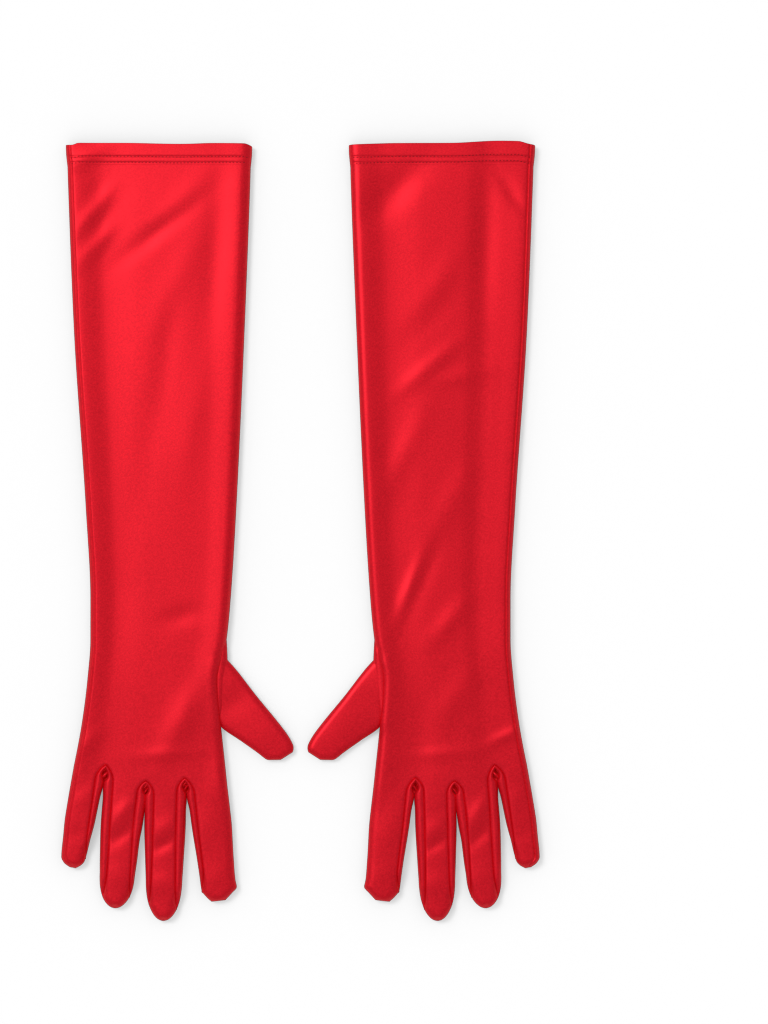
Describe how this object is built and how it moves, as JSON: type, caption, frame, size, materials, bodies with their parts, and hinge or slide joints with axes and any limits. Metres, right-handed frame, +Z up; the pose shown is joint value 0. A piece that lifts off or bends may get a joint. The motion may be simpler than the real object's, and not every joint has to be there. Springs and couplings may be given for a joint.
{
  "type": "opera gloves",
  "caption": "Pair of elbow-length stretch-satin opera gloves lying flat, backs up, hollow from hemmed cuff to fingertips, with fourchettes, set-in thumbs and a side seam.",
  "frame": {"origin": "on the table under the middle of the pair: the middle of the bounding box in plan, at the underside of the palms", "axes": "+X across the pair, from the right-hand glove to the left-hand glove; +Y along the gloves, from fingertips to cuffs; +Z up, out of the backs of the hands"},
  "size_m": [0.2864, 0.4666, 0.0093],
  "materials": {
    "satin": "bright red stretch satin knit, soft sheen",
    "satin_reverse": "matt reverse of the red satin knit",
    "stitching": "red polyester sewing thread"
  },
  "bodies": {
    "right_lower_sleeve": {"right_lower_sleeve_back": "satin", "right_lower_sleeve_palm": "satin", "right_lower_seam_allowance": "satin_reverse"},
    "right_upper_sleeve": {"right_upper_sleeve_back": "satin", "right_upper_sleeve_palm": "satin", "right_hem_facing": "satin_reverse", "right_hem_thread_upper": "stitching", "right_hem_thread_lower": "stitching", "right_upper_seam_allowance": "satin_reverse"},
    "right_hand": {"right_hand_back": "satin", "right_hand_palm": "satin", "right_fourchette_fork_little_ring": "satin", "right_fourchette_fork_ring_middle": "satin", "right_fourchette_fork_middle_index": "satin"},
    "right_thumb": {"right_thumb_back": "satin", "right_thumb_palm": "satin"},
    "right_little_finger": {"right_little_back": "satin", "right_little_palm": "satin", "right_little_fourchette_by_ring": "satin"},
    "right_ring_finger": {"right_ring_back": "satin", "right_ring_palm": "satin", "right_ring_fourchette_by_little": "satin", "right_ring_fourchette_by_middle": "satin"},
    "right_middle_finger": {"right_middle_back": "satin", "right_middle_palm": "satin", "right_middle_fourchette_by_ring": "satin", "right_middle_fourchette_by_index": "satin"},
    "right_index_finger": {"right_index_back": "satin", "right_index_palm": "satin", "right_index_fourchette_by_middle": "satin"},
    "left_lower_sleeve": {"left_lower_sleeve_back": "satin", "left_lower_sleeve_palm": "satin", "left_lower_seam_allowance": "satin_reverse"},
    "left_upper_sleeve": {"left_upper_sleeve_back": "satin", "left_upper_sleeve_palm": "satin", "left_hem_facing": "satin_reverse", "left_hem_thread_upper": "stitching", "left_hem_thread_lower": "stitching", "left_upper_seam_allowance": "satin_reverse"},
    "left_hand": {"left_hand_back": "satin", "left_hand_palm": "satin", "left_fourchette_fork_little_ring": "satin", "left_fourchette_fork_ring_middle": "satin", "left_fourchette_fork_middle_index": "satin"},
    "left_thumb": {"left_thumb_back": "satin", "left_thumb_palm": "satin"},
    "left_little_finger": {"left_little_back": "satin", "left_little_palm": "satin", "left_little_fourchette_by_ring": "satin"},
    "left_ring_finger": {"left_ring_back": "satin", "left_ring_palm": "satin", "left_ring_fourchette_by_little": "satin", "left_ring_fourchette_by_middle": "satin"},
    "left_middle_finger": {"left_middle_back": "satin", "left_middle_palm": "satin", "left_middle_fourchette_by_ring": "satin", "left_middle_fourchette_by_index": "satin"},
    "left_index_finger": {"left_index_back": "satin", "left_index_palm": "satin", "left_index_fourchette_by_middle": "satin"}
  },
  "joints": [
    {"name": "right_sleeve_fold", "type": "hinge", "parent": "right_lower_sleeve", "child": "right_upper_sleeve", "pos_m": [-0.08445, 0.08438, 0.0096], "axis": [1, 0, 0], "range_deg": [0, 178]},
    {"name": "left_sleeve_fold", "type": "hinge", "parent": "left_lower_sleeve", "child": "left_upper_sleeve", "pos_m": [0.08445, 0.08438, 0.0096], "axis": [1, 0, 0], "range_deg": [0, 178]},
    {"name": "right_wrist_bend", "type": "hinge", "parent": "right_lower_sleeve", "child": "right_hand", "pos_m": [-0.08515, -0.06462, 0.00425], "axis": [1, 0, 0], "range_deg": [-70, 80]},
    {"name": "left_wrist_bend", "type": "hinge", "parent": "left_lower_sleeve", "child": "left_hand", "pos_m": [0.08515, -0.06462, 0.00425], "axis": [1, 0, 0], "range_deg": [-70, 80]},
    {"name": "right_little_knuckle", "type": "hinge", "parent": "right_hand", "child": "right_little_finger", "pos_m": [-0.12656, -0.1413, 0.00425], "axis": [0.9833, -0.1822, 0], "range_deg": [-20, 90]},
    {"name": "left_little_knuckle", "type": "hinge", "parent": "left_hand", "child": "left_little_finger", "pos_m": [0.12656, -0.1413, 0.00425], "axis": [0.9833, 0.1822, 0], "range_deg": [-20, 90]},
    {"name": "right_ring_knuckle", "type": "hinge", "parent": "right_hand", "child": "right_ring_finger", "pos_m": [-0.10474, -0.14405, 0.00425], "axis": [0.9969, -0.0785, 0], "range_deg": [-20, 90]},
    {"name": "left_ring_knuckle", "type": "hinge", "parent": "left_hand", "child": "left_ring_finger", "pos_m": [0.10474, -0.14405, 0.00425], "axis": [0.9969, 0.0785, 0], "range_deg": [-20, 90]},
    {"name": "right_middle_knuckle", "type": "hinge", "parent": "right_hand", "child": "right_middle_finger", "pos_m": [-0.08092, -0.14704, 0.00425], "axis": [0.9998, -0.0174, 0], "range_deg": [-20, 90]},
    {"name": "left_middle_knuckle", "type": "hinge", "parent": "left_hand", "child": "left_middle_finger", "pos_m": [0.08092, -0.14704, 0.00425], "axis": [0.9998, 0.0174, 0], "range_deg": [-20, 90]},
    {"name": "right_index_knuckle", "type": "hinge", "parent": "right_hand", "child": "right_index_finger", "pos_m": [-0.05661, -0.1501, 0.00425], "axis": [0.9932, 0.1167, 0], "range_deg": [-20, 90]},
    {"name": "left_index_knuckle", "type": "hinge", "parent": "left_hand", "child": "left_index_finger", "pos_m": [0.05661, -0.1501, 0.00425], "axis": [0.9932, -0.1167, 0], "range_deg": [-20, 90]},
    {"name": "right_thumb_swing", "type": "hinge", "parent": "right_hand", "child": "right_thumb", "pos_m": [-0.05222, -0.09662, 0], "axis": [0.055, 0.9985, 0], "range_deg": [0, 75]},
    {"name": "left_thumb_swing", "type": "hinge", "parent": "left_hand", "child": "left_thumb", "pos_m": [0.05222, -0.09662, 0], "axis": [0.055, -0.9985, 0], "range_deg": [0, 75]},
    {"name": "left_glove_lift", "type": "slide", "parent": "right_lower_sleeve", "child": "left_lower_sleeve", "axis": [0, 0, 1], "range_m": [0, 0.25]}
  ]
}
